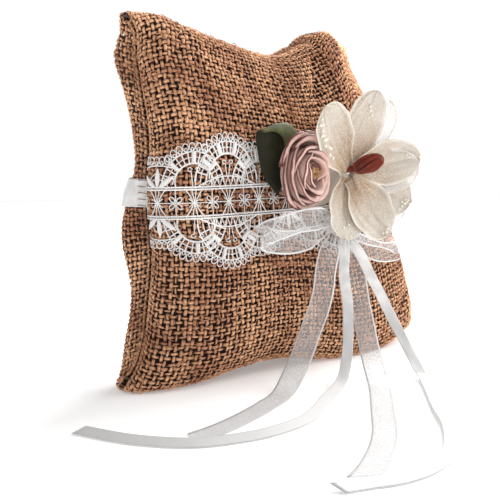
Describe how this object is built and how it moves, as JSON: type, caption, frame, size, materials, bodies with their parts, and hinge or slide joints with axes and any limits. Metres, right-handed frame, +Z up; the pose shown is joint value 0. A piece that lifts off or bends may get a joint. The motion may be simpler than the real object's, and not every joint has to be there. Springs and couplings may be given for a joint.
{
  "type": "ring bearer pillow",
  "caption": "Square burlap ring bearer pillow standing on its lower edge, with a lace band, a satin rose, an organza flower, a sheer bow with ribbon tails and a hand strap behind.",
  "frame": {"origin": "a point of the flat base under the middle of the cushion, on the surface it stands on", "axes": "+X to the right seen from the front, -Y out of the front, +Z up"},
  "size_m": [0.2575, 0.2104, 0.2],
  "materials": {
    "burlap": "coarse plain weave, matt",
    "lining": "plain brown cotton, matt",
    "fibre": "loose polyester fibre",
    "thread": "matt sewing thread",
    "lace": "white cotton lace, matt",
    "satin": "white satin, soft gloss",
    "organza": "sheer white organza",
    "leaf_satin": "dark green satin",
    "rose_satin": "blush satin with darker edges",
    "stamen": "beige frayed thread",
    "petal_organza": "cream organza with a raised dotted pattern",
    "wound_thread": "red-brown wound thread",
    "felt": "cream felt, matt"
  },
  "bodies": {
    "root": {"front_cover": "burlap", "back_cover": "burlap", "front_lining": "lining", "back_lining": "lining", "stuffing": "fibre", "seam_thread": "thread", "lace_band": "lace", "hand_strap": "satin", "felt_pad": "felt", "leaf": "leaf_satin", "rose_petal_1": "rose_satin", "rose_petal_2": "rose_satin", "rose_petal_3": "rose_satin", "rose_petal_4": "rose_satin", "rose_petal_5": "rose_satin", "rose_petal_6": "rose_satin", "rose_petal_7": "rose_satin", "rose_petal_8": "rose_satin", "rose_petal_9": "rose_satin", "rose_bud": "rose_satin", "rose_stamens": "stamen", "organza_petal_upper_left": "petal_organza", "organza_petal_upper_right": "petal_organza", "organza_petal_right": "petal_organza", "organza_petal_lower_right": "petal_organza", "organza_petal_lower_middle": "petal_organza", "organza_petal_lower_left": "petal_organza", "flower_stem": "wound_thread", "flower_pistil": "wound_thread", "bow_knot": "satin", "bow_loop_left": "organza", "bow_loop_right": "organza", "organza_tail_left": "organza", "organza_tail_right": "organza", "satin_tail_left": "satin", "satin_tail_right": "satin"}
  },
  "joints": []
}
